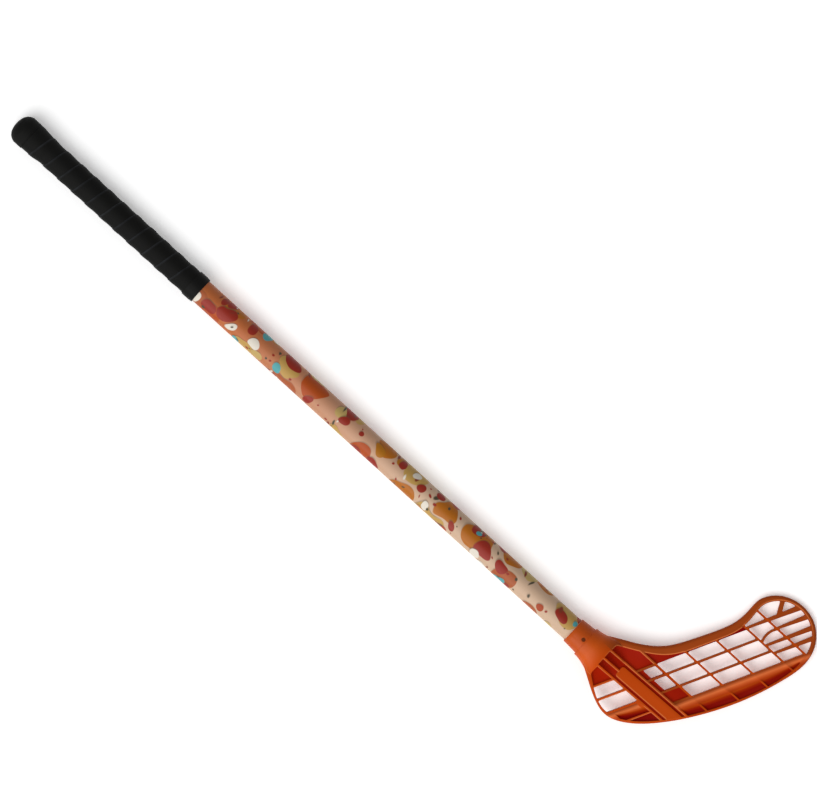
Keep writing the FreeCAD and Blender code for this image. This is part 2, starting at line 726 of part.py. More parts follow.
def blade():
    """One moulding: neck with its socket, bent rim, ribs, webs, openings, bar and hollows."""
    outline = outline_curve()
    inside = upright(inner_curve(outline, 0))
    body = plate(outline).fuse([neck(outline), collar()])
    socket = revolved(((0, 0), (SOCKET_DEPTH, 0), (SOCKET_DEPTH, SOCKET_RADIUS), (0, SOCKET_RADIUS)))
    web = bent_slab(WEB_HALF, WEB_HALF)
    body = body.cut([socket, screw_seat()]).cut(bar_clearance())
    body = body.cut(grid_recess(upright(inner_curve(outline, GRID_LEDGE))))
    body = body.cut(openings(inside))
    body = body.cut([pocket.cut(web) for pocket in pockets(inside)])
    return body.cut(belly_hollows(outline, inside))


def blade_screw():
    """Sunk self-tapping screw with a cross recess and a pointed end."""
    top = collar_height(SCREW_PLACE) - SCREW_SINK
    seat = top - SCREW_HEAD_HEIGHT
    shank_radius = SCREW_SHANK_DIAMETER / 2
    straight = SCREW_LENGTH - SCREW_HEAD_HEIGHT - SCREW_POINT
    head = Part.makeCylinder(SCREW_HEAD_DIAMETER / 2, SCREW_HEAD_HEIGHT, V(0, 0, seat))
    shank = Part.makeCylinder(shank_radius, straight, V(0, 0, seat - straight))
    point = Part.makeCone(shank_radius, 0, SCREW_POINT, V(0, 0, seat - straight), V(0, 0, -1))
    body = head.fuse([shank, point])
    for length, width in ((SCREW_SLOT_LENGTH, SCREW_SLOT_WIDTH), (SCREW_SLOT_WIDTH, SCREW_SLOT_LENGTH)):
        corner = V(-length / 2, -width / 2, top - SCREW_SLOT_DEPTH)
        body = body.cut(Part.makeBox(length, width, SCREW_SLOT_DEPTH, corner))
    body.translate(V(SCREW_PLACE, 0, 0))
    return body


def main():
    at_mouth = V(MOUTH, 0, 0)
    pieces = {
        "shaft_tube": shaft_tube(),
        "print_film": print_film(),
        "butt_cap": butt_cap(),
        "grip_tape": grip_tape(),
        "grip_band": grip_band(),
        "blade": blade(),
        "blade_screw": blade_screw(),
    }
    for name in ("blade", "blade_screw"):
        pieces[name].translate(at_mouth)
    box = Part.makeCompound(list(pieces.values())).optimalBoundingBox()
    to_frame = V(-(box.XMin + box.XMax) / 2, -(box.YMin + box.YMax) / 2, -box.ZMin)
    os.makedirs("parts", exist_ok=True)
    for name, shape in pieces.items():
        shape.translate(to_frame)
        shape.exportStep(f"parts/{name}.step")
        print(name, len(shape.Solids), "solid", shape.isValid(), round(shape.Volume, 1))
    print("grip tape's least gap to itself", round(tape_self_gap(), 3))
    print("frame shift", to_frame)
    print("size", box.XLength, box.YLength, box.ZLength)


main()
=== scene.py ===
import math

import bmesh
import bpy
import numpy as np
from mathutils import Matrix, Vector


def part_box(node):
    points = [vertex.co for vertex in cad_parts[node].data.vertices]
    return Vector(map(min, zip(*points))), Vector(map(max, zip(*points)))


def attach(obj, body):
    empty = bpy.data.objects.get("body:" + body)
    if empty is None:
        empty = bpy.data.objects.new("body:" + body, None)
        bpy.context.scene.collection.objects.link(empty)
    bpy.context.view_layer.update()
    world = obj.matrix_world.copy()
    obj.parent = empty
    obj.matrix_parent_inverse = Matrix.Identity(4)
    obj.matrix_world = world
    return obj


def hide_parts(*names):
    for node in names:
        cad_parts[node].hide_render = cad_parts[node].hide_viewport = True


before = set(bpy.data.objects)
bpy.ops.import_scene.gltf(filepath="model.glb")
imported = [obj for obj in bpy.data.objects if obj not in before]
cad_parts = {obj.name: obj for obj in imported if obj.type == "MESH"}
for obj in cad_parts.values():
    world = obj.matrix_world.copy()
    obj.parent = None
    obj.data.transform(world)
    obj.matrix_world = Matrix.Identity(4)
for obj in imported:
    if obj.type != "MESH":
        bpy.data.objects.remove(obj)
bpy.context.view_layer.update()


# Shaft tube: a hollow tube of glass and carbon fibre in epoxy, rolled on a mandrel, cured
# and ground round. The cap and the blade's socket hold its ends, and the printed sleeve
# covers it between them.

def linear(code):
    """Linear colour from an sRGB hex code: each channel is undone from its display curve."""
    channels = np.array([int(code[i:i + 2], 16) for i in (1, 3, 5)]) / 255
    low = channels / 12.92
    high = ((channels + 0.055) / 1.055) ** 2.4
    return (*np.where(channels <= 0.04045, low, high).tolist(), 1.0)


def add(tree, kind, inputs, **settings):
    """Adds one node to a material: its settings, then its inputs as values or as other nodes' outputs."""
    made = tree.nodes.new(kind)
    for name, value in settings.items():
        setattr(made, name, value)
    for name, value in inputs.items():
        if isinstance(value, bpy.types.NodeSocket):
            tree.links.new(value, made.inputs[name])
        else:
            made.inputs[name].default_value = value
    return made


def finish_of(name, **sockets):
    """New material with a Principled surface, and the values of its sockets."""
    material = bpy.data.materials.new(name)
    material.use_nodes = True
    shader = material.node_tree.nodes["Principled BSDF"]
    for socket, value in sockets.items():
        shader.inputs[socket.replace("_", " ")].default_value = value
    return material, material.node_tree, shader


def dress(piece, material):
    """Gives a piece one material in place of those it has."""
    piece.data.materials.clear()
    piece.data.materials.append(material)


# Fibre composite under clear lacquer: pale grey, with faint streaks of fibre along the tube, drawn
# coarser than the fibres are so that they show.
composite, tree, shader = finish_of("lacquered_fibre_composite", Roughness=0.32, IOR=1.5)
place = add(tree, "ShaderNodeTexCoord", {})
streak_mm = 1.1
streak_length_mm = 33
streaks = add(
    tree,
    "ShaderNodeMapping",
    {
        "Vector": place.outputs["Object"],
        "Scale": (1000 / streak_length_mm, 1000 / streak_mm, 1000 / streak_mm),
    },
)
fibre = add(
    tree,
    "ShaderNodeTexNoise",
    {"Vector": streaks.outputs["Vector"], "Scale": 1.0, "Detail": 3.0},
)
tone = add(
    tree,
    "ShaderNodeMix",
    {"Factor": fibre.outputs["Fac"], "A": linear("#C9C6BF"), "B": linear("#EFEDE8")},
    data_type="RGBA",
)
tree.links.new(tone.outputs["Result"], shader.inputs["Base Color"])
dress(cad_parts["shaft_tube"], composite)


# Printed sleeve: a thin clear film printed on its inner side, wrapped round the tube with a
# narrow lap and shrunk on with heat. It runs from under the grip to the blade's mouth.

def skin(name, grid, wrap_rows, wrap_columns, caps=False):
    """Mesh over a grid of points: every four neighbours make a face, and a wrapped direction
    joins its last line to its first. Caps close the first and last row with one face each."""
    rows, columns = grid.shape[:2]
    numbers = np.arange(rows * columns).reshape(rows, columns)
    here = numbers if wrap_rows else numbers[:-1]
    ahead = np.roll(numbers, -1, axis=0) if wrap_rows else numbers[1:]
    if not wrap_columns:
        faces = np.stack((here[:, :-1], here[:, 1:], ahead[:, 1:], ahead[:, :-1]), axis=-1)
    else:
        faces = np.stack((here, np.roll(here, -1, axis=1), np.roll(ahead, -1, axis=1), ahead), axis=-1)
    faces = faces.reshape(-1, 4).tolist()
    if caps:
        faces += [numbers[0][::-1].tolist(), numbers[-1].tolist()]
    mesh = bpy.data.meshes.new(name)
    mesh.from_pydata(grid.reshape(-1, 3).tolist(), [], faces)
    mesh.shade_smooth()
    mesh.update()
    piece = bpy.data.objects.new(name, mesh)
    bpy.context.scene.collection.objects.link(piece)
    return piece


film_low, film_high = (np.array(corner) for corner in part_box("print_film"))
axis_y, axis_z = (film_low[1:] + film_high[1:]) / 2
film_radius = (film_high[2] - film_low[2]) / 2
film_wall = 0.00014
lap_rise = 0.00005
lap_angle = math.radians(265)
lap_half = math.radians(12)
cut_round = 0.00005
end_margin = 0.003
reach_to_mouth = 0.0005
round_steps = 192
length_steps = 60

turn = np.linspace(0, 2 * math.pi, round_steps, endpoint=False)
lap = lap_rise * np.clip(1 - np.abs(turn - lap_angle) / lap_half, 0, 1) ** 0.5
sleeve_length = film_high[0] + reach_to_mouth - film_low[0]
inner_lengths = np.linspace(end_margin, sleeve_length - end_margin, length_steps)
lengths = np.concatenate(([0, cut_round], inner_lengths, [sleeve_length - cut_round, sleeve_length]))
outer = np.full(len(lengths), film_radius - lap_rise)
outer[[0, -1]] -= cut_round
profile_x = np.concatenate((lengths, lengths[::-1][[0, -1]]))
profile_r = np.concatenate((outer, [film_radius - film_wall] * 2))
lapped = np.concatenate((np.ones(len(lengths)), np.zeros(2)))
radius = profile_r[:, None] + lapped[:, None] * lap[None, :]
sleeve_grid = np.stack(
    (
        np.broadcast_to(film_low[0] + profile_x[:, None], radius.shape),
        axis_y + radius * np.cos(turn),
        axis_z + radius * np.sin(turn),
    ),
    axis=-1,
)
sleeve = skin("printed_sleeve", sleeve_grid[::-1], True, True)


shadow_aside = (0.0009, -0.0012, 0)
shadow_softness_mm = 1.8
spot_softness_mm = 0.7
cell_start = (0.31, 0.17)
cell_disorder = 0.6
least_reach = 0.55


def spots(tree, sheet, under, cell_mm, stretch, lean, reach, share, colours, shade):
    """One layer of printed spots. The sheet is cut into cells of a given size, stretched and
    leaned, each with a centre near its middle; a spot is where the distance to the centre is
    less than its reach, and only a share of the cells have one. A copy moved aside by a
    millimetre darkens what is under it, as a printed drop shadow."""
    masks = []
    for aside, softness_mm in ((shadow_aside, shadow_softness_mm), ((0, 0, 0), spot_softness_mm)):
        moved = add(tree, "ShaderNodeVectorMath", {0: sheet, 1: aside}, operation="ADD")
        leaned = add(
            tree,
            "ShaderNodeMapping",
            {
                "Vector": moved.outputs["Vector"],
                "Location": (cell_start[0] * cell_mm, cell_start[1] * cell_mm, 0),
                "Rotation": (0, 0, math.radians(lean)),
                "Scale": (1000 / cell_mm, 1000 / (cell_mm * stretch), 1),
            },
        )
        cells = add(
            tree,
            "ShaderNodeTexVoronoi",
            {"Vector": leaned.outputs["Vector"], "Scale": 1.0, "Randomness": cell_disorder},
            voronoi_dimensions="2D",
        )
        parts = add(tree, "ShaderNodeSeparateColor", {"Color": cells.outputs["Color"]})
        size = add(
            tree,
            "ShaderNodeMapRange",
            {"Value": parts.outputs["Green"], "To Min": least_reach * reach, "To Max": reach},
        )
        inside = add(
            tree,
            "ShaderNodeMath",
            {0: size.outputs["Result"], 1: cells.outputs["Distance"]},
            operation="SUBTRACT",
        )
        edge = add(
            tree,
            "ShaderNodeMath",
            {0: inside.outputs["Value"], 1: cell_mm / softness_mm},
            operation="MULTIPLY",
            use_clamp=True,
        )
        chosen = add(
            tree,
            "ShaderNodeMath",
            {0: parts.outputs["Blue"], 1: share},
            operation="LESS_THAN",
        )
        mask = add(
            tree,
            "ShaderNodeMath",
            {0: edge.outputs["Value"], 1: chosen.outputs["Value"]},
            operation="MULTIPLY",
        )
        masks.append(mask.outputs["Value"])
    palette = add(tree, "ShaderNodeValToRGB", {"Fac": parts.outputs["Red"]})
    palette.color_ramp.interpolation = "CONSTANT"
    stops = palette.color_ramp.elements
    for number, code in enumerate(colours):
        stop = stops[number] if number < 2 else stops.new(1.0)
        stop.position = number / len(colours)
        stop.color = linear(code)
    strength = add(tree, "ShaderNodeMath", {0: masks[0], 1: shade}, operation="MULTIPLY")
    shadowed = add(
        tree,
        "ShaderNodeMix",
        {"Factor": strength.outputs["Value"], "A": under, "B": linear("#4A4234")},
        data_type="RGBA",
    )
    layer = add(
        tree,
        "ShaderNodeMix",
        {"Factor": masks[1], "A": shadowed.outputs["Result"], "B": palette.outputs["Color"]},
        data_type="RGBA",
    )
    return layer.outputs["Result"]


# Printed polyester film: a peach ground that pales towards the blade, under pebbles, dashes and
# dots in warm colours and turquoise. A satin lacquer, so the light falls off softly round it.
print_ink, tree, shader = finish_of("printed_polyester_film", Roughness=0.45, Specular_IOR_Level=0.2)
place = add(tree, "ShaderNodeTexCoord", {})
from_axis = add(
    tree,
    "ShaderNodeVectorMath",
    {0: place.outputs["Object"], 1: (0, axis_y, axis_z)},
    operation="SUBTRACT",
)
spread = add(tree, "ShaderNodeSeparateXYZ", {"Vector": from_axis.outputs["Vector"]})
around = add(
    tree,
    "ShaderNodeMath",
    {0: spread.outputs["Y"], 1: spread.outputs["Z"]},
    operation="ARCTAN2",
)
girth = add(
    tree,
    "ShaderNodeMath",
    {0: around.outputs["Value"], 1: film_radius},
    operation="MULTIPLY",
)
flat = add(tree, "ShaderNodeCombineXYZ", {"X": spread.outputs["X"], "Y": girth.outputs["Value"]})
wave_mm = 22
wave_pull = 0.012
waves = add(
    tree,
    "ShaderNodeTexNoise",
    {"Vector": flat.outputs["Vector"], "Scale": 1000 / wave_mm, "Detail": 0.5},
    noise_dimensions="2D",
)
pulled = add(
    tree,
    "ShaderNodeVectorMath",
    {0: waves.outputs["Color"], 1: (wave_pull, wave_pull, 0), 2: flat.outputs["Vector"]},
    operation="MULTIPLY_ADD",
)
sheet = pulled.outputs["Vector"]
fade_start = -0.16
fade_end = 0.08
fade = add(
    tree,
    "ShaderNodeMapRange",
    {"Value": spread.outputs["X"], "From Min": fade_start, "From Max": fade_end},
)
ground = add(
    tree,
    "ShaderNodeMix",
    {"Factor": fade.outputs["Result"], "A": linear("#B46334"), "B": linear("#C9AA8F")},
    data_type="RGBA",
)
ink = ground.outputs["Result"]
pebbles = ("#A8460E", "#B8924E", "#AC620E", "#A4542C")
stones = ("#8E2414", "#A03C0E", "#8E2414", "#AA6A10", "#BA9E60")
dashes = ("#453E2C", "#DCD4C6", "#7A3018")
drops = ("#4F9EA2", "#DCD4C6", "#8E2616")
grit = ("#8E2616", "#453E2C")
ink = spots(tree, sheet, ink, 38, 0.85, 12, 0.45, 1.0, pebbles, 0.5)
ink = spots(tree, sheet, ink, 24, 0.8, -25, 0.43, 0.72, stones, 0.6)
ink = spots(tree, sheet, ink, 6, 2.8, 32, 0.32, 0.14, dashes, 0.3)
ink = spots(tree, sheet, ink, 16, 1.0, 40, 0.4, 0.24, drops, 0.7)
ink = spots(tree, sheet, ink, 7, 1.0, 10, 0.3, 0.12, grit, 0.3)
tree.links.new(ink, shader.inputs["Base Color"])
dress(sleeve, print_ink)
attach(sleeve, "root")
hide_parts("print_film")


# Butt cap: a knob moulded in black rubber, pushed into the tube's end on a barbed spigot.
# Its skirt runs under the first turns of the grip.

# Moulded rubber: matt, with the fine grain of a blasted mould, drawn coarser than it is so that it
# shows, and a breath of grey dust.
cap_rubber, tree, shader = finish_of("moulded_black_rubber", Roughness=0.62, Specular_IOR_Level=0.05)
place = add(tree, "ShaderNodeTexCoord", {})
dust_mm = 14
grain_mm = 1.1
dust = add(
    tree,
    "ShaderNodeTexNoise",
    {"Vector": place.outputs["Object"], "Scale": 1000 / dust_mm, "Detail": 4.0},
)
tone = add(
    tree,
    "ShaderNodeMix",
    {"Factor": dust.outputs["Fac"], "A": linear("#0D0D0C"), "B": linear("#151514")},
    data_type="RGBA",
)
grain = add(
    tree,
    "ShaderNodeTexNoise",
    {"Vector": place.outputs["Object"], "Scale": 1000 / grain_mm, "Detail": 2.0},
)
relief = add(
    tree,
    "ShaderNodeBump",
    {"Height": grain.outputs["Fac"], "Strength": 0.25, "Distance": 0.0002},
)
tree.links.new(tone.outputs["Result"], shader.inputs["Base Color"])
tree.links.new(relief.outputs["Normal"], shader.inputs["Normal"])
dress(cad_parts["butt_cap"], cap_rubber)


# Grip: a soft strip with a tapered tail, wound from the cap towards the blade in a left-hand
# helix. Each turn laps over the edge of the turn before it, which makes the grip's low steps.

tape_low, tape_high = (np.array(corner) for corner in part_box("grip_tape"))
pitch = 0.0176
overlap = 0.004
strip_wall = 0.00045
lap_lift = 0.0005
edge_round = 0.00022
skirt_length = 0.023
skirt_rise = 0.0015
strip_fit = 0.00005
ease_length = 0.008
edge_share = 0.35
turn_length = 0.0815
turn_margin = 0.02
winding_steps = 1500
across_steps = 30
seat_radius = film_radius + strip_fit
tape_start = tape_low[0]
tape_end = tape_high[0]
width = pitch + overlap

first_turn = -width / pitch
last_turn = (tape_end - tape_start) / pitch
winding = np.linspace(first_turn + turn_margin, last_turn - turn_margin, winding_steps)
across = np.linspace(0, 1, across_steps)


def strip_height(s):
    """Height of the strip's underside over its seat, at a distance s from its leading edge:
    it lies on the turn before it for the overlap, then eases down to the seat."""
    eased = np.clip((s - overlap) / ease_length, 0, 1)
    return lap_lift * (1 - eased * eased * (3 - 2 * eased))


def seat(x):
    """Radius under the strip: the cap's crowned skirt falls to the film with the square of the
    way along it."""
    share = np.clip((x - tape_start) / skirt_length, 0, 1)
    return seat_radius + skirt_rise * (1 - share ** 2)


from_edge = np.clip(tape_start - (tape_start + winding * pitch), 0, width)
to_edge = np.clip(tape_end - (tape_start + winding * pitch), 0, width)
top_s = from_edge[:, None] + (to_edge - from_edge)[:, None] * across
top_x = tape_start + winding[:, None] * pitch + top_s
rounding = np.sqrt(np.clip(1 - (1 - np.clip(top_s / edge_round, 0, 1)) ** 2, 0, 1))
rounding = edge_share + (1 - edge_share) * rounding
top_r = seat(top_x) + strip_height(top_s) + strip_wall * rounding
low_r = seat(top_x) + strip_height(top_s)
strip_s = np.concatenate((top_s, top_s[:, ::-1]), axis=1)
strip_x = np.concatenate((top_x, top_x[:, ::-1]), axis=1)
strip_r = np.concatenate((top_r, low_r[:, ::-1]), axis=1)
angle = -2 * math.pi * winding[:, None]
strip_grid = np.stack(
    (strip_x, axis_y + strip_r * np.cos(angle), axis_z + strip_r * np.sin(angle)),
    axis=-1,
)
strip = skin("wound_grip_strip", strip_grid, False, True, caps=True)
layout = strip.data.uv_layers.new(name="along_strip")
corner_points = np.empty(len(strip.data.loops), dtype=np.int32)
strip.data.loops.foreach_get("vertex_index", corner_points)
along_turns = np.broadcast_to(winding[:, None] * turn_length, strip_s.shape)
strip_uv = np.stack((strip_s, along_turns), axis=-1)
layout.data.foreach_set("uv", strip_uv.reshape(-1, 2)[corner_points].ravel())

# Polyurethane strip with an embossed grain: matt black, and greyer along the lapped edge, partly
# rubbed wear and partly a painted highlight where the raised edge would catch the light.
strip_skin, tree, shader = finish_of("embossed_polyurethane_strip", Roughness=0.6, Specular_IOR_Level=0.05)
along = add(tree, "ShaderNodeUVMap", {}, uv_map="along_strip")
parts = add(tree, "ShaderNodeSeparateXYZ", {"Vector": along.outputs["UV"]})
wear_and_highlight_width = 0.0022
patch_mm = 9
pore_mm = 1.3
# Painted highlight and wear: a grey band along the leading edge of each turn, uneven in patches.
painted_light_mask = add(
    tree,
    "ShaderNodeMapRange",
    {
        "Value": parts.outputs["X"],
        "From Min": 0.0,
        "From Max": wear_and_highlight_width,
        "To Min": 1.0,
        "To Max": 0.0,
    },
)
place = add(tree, "ShaderNodeTexCoord", {})
patches = add(
    tree,
    "ShaderNodeTexNoise",
    {"Vector": place.outputs["Object"], "Scale": 1000 / patch_mm, "Detail": 4.0},
)
wear_and_painted_highlight = add(
    tree,
    "ShaderNodeMath",
    {0: painted_light_mask.outputs["Result"], 1: patches.outputs["Fac"]},
    operation="MULTIPLY",
)
tone = add(
    tree,
    "ShaderNodeMix",
    {"Factor": wear_and_painted_highlight.outputs["Value"], "A": linear("#0F0F0E"), "B": linear("#34363A")},
    data_type="RGBA",
)
pores = add(
    tree,
    "ShaderNodeTexVoronoi",
    {"Vector": place.outputs["Object"], "Scale": 1000 / pore_mm},
)
relief = add(
    tree,
    "ShaderNodeBump",
    {"Height": pores.outputs["Distance"], "Strength": 0.35, "Distance": 0.0003},
)
tree.links.new(tone.outputs["Result"], shader.inputs["Base Color"])
tree.links.new(relief.outputs["Normal"], shader.inputs["Normal"])
dress(strip, strip_skin)
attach(strip, "root")
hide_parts("grip_tape")


# Closing band: one turn of black vinyl tape, stretched over the end of the winding and stuck
# down, so that the strip's tail can't lift.

# Stretched vinyl: smooth and a little glossy, with faint pull lines round the shaft.
vinyl, tree, shader = finish_of("black_vinyl_tape", Roughness=0.5, Specular_IOR_Level=0.05)
shader.inputs["Base Color"].default_value = linear("#0F0F0E")
place = add(tree, "ShaderNodeTexCoord", {})
line_mm = 1.1
line_length_mm = 17
pulled = add(
    tree,
    "ShaderNodeMapping",
    {
        "Vector": place.outputs["Object"],
        "Scale": (1000 / line_mm, 1000 / line_length_mm, 1000 / line_length_mm),
    },
)
lines = add(
    tree,
    "ShaderNodeTexNoise",
    {"Vector": pulled.outputs["Vector"], "Scale": 1.0, "Detail": 2.0},
)
relief = add(
    tree,
    "ShaderNodeBump",
    {"Height": lines.outputs["Fac"], "Strength": 0.2, "Distance": 0.0002},
)
tree.links.new(relief.outputs["Normal"], shader.inputs["Normal"])
dress(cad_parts["grip_band"], vinyl)


# Blade: one injection moulding in orange polyethylene. Its neck is glued and screwed on the
# shaft; behind the neck are the diagonal bar, the pockets, the open grid of ribs and the belly.

weld_gap = 0.000002
same_plane = math.radians(0.5)
sharp_corner = math.radians(35)
softened_corner = math.radians(50)
edge_width = 0.00035
blade = bpy.data.objects.new("moulded_blade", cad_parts["blade"].data.copy())
bpy.context.scene.collection.objects.link(blade)
shell = bmesh.new()
shell.from_mesh(blade.data)
bmesh.ops.remove_doubles(shell, verts=shell.verts, dist=weld_gap)
bmesh.ops.dissolve_limit(shell, angle_limit=same_plane, verts=shell.verts, edges=shell.edges)
shell.to_mesh(blade.data)
shell.free()
blade.data.shade_smooth()
blade.data.set_sharp_from_angle(angle=sharp_corner)
softened = blade.modifiers.new("moulded_edges", "BEVEL")
softened.width = edge_width
softened.segments = 2
softened.limit_method = "ANGLE"
softened.angle_limit = softened_corner

# How full the wall is at each point: its height over the bent middle, as a share of the rim's half.
heel_low = -0.045
bend_start = axis_y + heel_low
bend_span = 0.210
toe_drop = 0.0136
rim_half_heel = 0.0054
rim_half_toe = 0.0042
bend_radius = (bend_span ** 2 + toe_drop ** 2) / (2 * toe_drop)
points = np.empty(3 * len(blade.data.vertices))
blade.data.vertices.foreach_get("co", points)
past = points[1::3] - bend_start
middle = axis_z - bend_radius + np.sqrt(bend_radius ** 2 - past ** 2)
rim_half = rim_half_heel + (rim_half_toe - rim_half_heel) * past / bend_span
fullness = blade.data.attributes.new("wall_fullness", "FLOAT", "POINT")
fullness.data.foreach_set("value", np.abs(points[2::3] - middle) / rim_half)

# Moulded polyethylene: satin and glossier on the neck, with faint flow clouds and the fine grain of
# a spark-eroded mould, drawn coarser than it is so that it shows. The thin webs and the belly's floor
# are deeper and redder than the bar and the neck: partly the colour of light through thin plastic,
# partly painted shade in the recesses. The rim and the long ribs of the open grid are painted
# browner, as painted shade.
orange, tree, shader = finish_of("moulded_orange_polyethylene", Roughness=0.45)
plate_gloss = 0.04
neck_gloss = 0.15
flow_mm = 45
flow_depth = 0.016
grain_mm = 0.8
full_orange = linear("#CA520A")
painted_shade_brown = linear("#A44616")
edge_highlight_orange = linear("#E27A40")
collar_orange = linear("#BA4C0C")
wall_tones = (
    (0.235, "#B62402"),
    (0.262, "#840200"),
    (0.5, "#A02604"),
    (0.7, "#B4420A"),
    (0.88, "#C04808"),
    (0.95, "#C4480A"),
)
place = add(tree, "ShaderNodeTexCoord", {})
spread = add(tree, "ShaderNodeSeparateXYZ", {"Vector": place.outputs["Object"]})
flow = add(
    tree,
    "ShaderNodeTexNoise",
    {"Vector": place.outputs["Object"], "Scale": 1000 / flow_mm, "Detail": 3.0},
)
wall = add(tree, "ShaderNodeAttribute", {}, attribute_name="wall_fullness")
clouded = add(
    tree,
    "ShaderNodeMath",
    {0: flow.outputs["Fac"], 1: flow_depth, 2: wall.outputs["Fac"]},
    operation="MULTIPLY_ADD",
)
# Painted shade: the lower and thinner the wall, the deeper and redder its tone, partly the colour of thin
# plastic.
thin_wall_and_shade_tone = add(tree, "ShaderNodeValToRGB", {"Fac": clouded.outputs["Value"]})
stops = thin_wall_and_shade_tone.color_ramp.elements
for number, (position, code) in enumerate(wall_tones):
    stop = stops[number] if number < 2 else stops.new(1.0)
    stop.position = position
    stop.color = linear(code)

# Painted shade: the long ribs, as far as the last one of the grid and of the heel, and the rim above
# the bar are painted browner, for the shade on their sides. The cross ribs stay bright.
mouth_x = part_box("blade")[0][0]
rib_lean = 0.5125
rib_foot = 0.029
last_heel_rib = 0.1110
last_grid_rib = 0.1257
bar_low = -0.0110
bar_high = 0.0105
toe_high = 0.170
cross_ribs = (0.0283, 0.0560, 0.0833, 0.1108, 0.1300)
cross_rib_half = 0.0012
rib_fullness = 0.82
rib_fullness_band = 0.10
rim_fullness = 0.93
above_bar = add(
    tree,
    "ShaderNodeMath",
    {0: spread.outputs["Y"], 1: axis_y + bar_high},
    operation="GREATER_THAN",
)
leaned = add(
    tree,
    "ShaderNodeMath",
    {0: spread.outputs["Y"], 1: -rib_lean, 2: spread.outputs["X"]},
    operation="MULTIPLY_ADD",
)
last_rib = add(
    tree,
    "ShaderNodeMath",
    {
        0: above_bar.outputs["Value"],
        1: last_grid_rib - last_heel_rib,
        2: mouth_x + last_heel_rib - rib_lean * (axis_y + rib_foot),
    },
    operation="MULTIPLY_ADD",
)
before_last = add(
    tree,
    "ShaderNodeMath",
    {0: leaned.outputs["Value"], 1: last_rib.outputs["Value"]},
    operation="LESS_THAN",
)
up_blade = add(
    tree,
    "ShaderNodeMapRange",
    {"Value": spread.outputs["Y"], "From Min": axis_y + heel_low, "From Max": axis_y + toe_high},
)
rows = add(tree, "ShaderNodeValToRGB", {"Fac": up_blade.outputs["Result"]})
rows.color_ramp.interpolation = "CONSTANT"
stops = rows.color_ramp.elements
stops[0].color = (1, 1, 1, 1)
stops[1].position = (bar_low - heel_low) / (toe_high - heel_low)
stops[1].color = (0, 0, 0, 1)
changes = [(bar_high, 1)]
for rib in cross_ribs:
    changes += [(rib - cross_rib_half, 0), (rib + cross_rib_half, 1)]
for height, shade in changes:
    stop = stops.new((height - heel_low) / (toe_high - heel_low))
    stop.color = (shade, shade, shade, 1)
rib_level = add(
    tree,
    "ShaderNodeMath",
    {0: wall.outputs["Fac"], 1: rib_fullness, 2: rib_fullness_band},
    operation="COMPARE",
)
long_ribs = add(
    tree,
    "ShaderNodeMath",
    {0: rib_level.outputs["Value"], 1: rows.outputs["Color"]},
    operation="MULTIPLY",
)
rim_level = add(
    tree,
    "ShaderNodeMath",
    {0: wall.outputs["Fac"], 1: rim_fullness},
    operation="GREATER_THAN",
)
upper_rim = add(
    tree,
    "ShaderNodeMath",
    {0: rim_level.outputs["Value"], 1: above_bar.outputs["Value"]},
    operation="MULTIPLY",
)
either = add(
    tree,
    "ShaderNodeMath",
    {0: long_ribs.outputs["Value"], 1: upper_rim.outputs["Value"]},
    operation="MAXIMUM",
)
# Where the painted shade goes: the long ribs of the grid and the heel, and the rim above the bar.
painted_light_mask = add(
    tree,
    "ShaderNodeMath",
    {0: either.outputs["Value"], 1: before_last.outputs["Value"]},
    operation="MULTIPLY",
)
ribs_with_painted_shade = add(
    tree,
    "ShaderNodeMix",
    {"Factor": painted_light_mask.outputs["Value"], "A": thin_wall_and_shade_tone.outputs["Color"], "B": painted_shade_brown},
    data_type="RGBA",
)

# Painted highlight across the belly's crest: the tone goes from brown shade at the grid to a pale
# orange highlight on the ridge, and then to red.
crest_width = 0.0108
crest_fade = 0.0072
crest_foot = 0.6
crest_top = 0.8
crest_highlight_tones = (
    (0.0, "#953F18"),
    (0.0004, "#9C4219"),
    (0.0036, "#E4723C"),
    (0.0062, "#CC5420"),
    (0.0092, "#A83008"),
)
past_last = add(
    tree,
    "ShaderNodeMath",
    {0: leaned.outputs["Value"], 1: last_rib.outputs["Value"]},
    operation="SUBTRACT",
)
crest_way = add(
    tree,
    "ShaderNodeMapRange",
    {"Value": past_last.outputs["Value"], "From Min": 0.0, "From Max": crest_width},
)
ridge_highlight = add(tree, "ShaderNodeValToRGB", {"Fac": crest_way.outputs["Result"]})
stops = ridge_highlight.color_ramp.elements
for number, (distance, code) in enumerate(crest_highlight_tones):
    stop = stops[number] if number < 2 else stops.new(1.0)
    stop.position = distance / crest_width
    stop.color = linear(code)
crest_end = add(
    tree,
    "ShaderNodeMapRange",
    {
        "Value": past_last.outputs["Value"],
        "From Min": crest_fade,
        "From Max": crest_width,
        "To Min": 1.0,
        "To Max": 0.0,
    },
)
thick = add(
    tree,
    "ShaderNodeMapRange",
    {"Value": wall.outputs["Fac"], "From Min": crest_foot, "From Max": crest_top},
)
on_bar = add(
    tree,
    "ShaderNodeMath",
    {0: spread.outputs["Y"], 1: axis_y + (bar_low + bar_high) / 2, 2: (bar_high - bar_low) / 2},
    operation="COMPARE",
)
beyond = add(
    tree,
    "ShaderNodeMath",
    {0: before_last.outputs["Value"], 1: on_bar.outputs["Value"]},
    operation="MAXIMUM",
)
off_grid = add(tree, "ShaderNodeMath", {0: 1.0, 1: beyond.outputs["Value"]}, operation="SUBTRACT")
thick_crest = add(
    tree,
    "ShaderNodeMath",
    {0: crest_end.outputs["Result"], 1: thick.outputs["Result"]},
    operation="MULTIPLY",
)
crest_highlight_mask = add(
    tree,
    "ShaderNodeMath",
    {0: thick_crest.outputs["Value"], 1: off_grid.outputs["Value"]},
    operation="MULTIPLY",
)
with_crest_highlight = add(
    tree,
    "ShaderNodeMix",
    {"Factor": crest_highlight_mask.outputs["Value"], "A": ribs_with_painted_shade.outputs["Result"], "B": ridge_highlight.outputs["Color"]},
    data_type="RGBA",
)
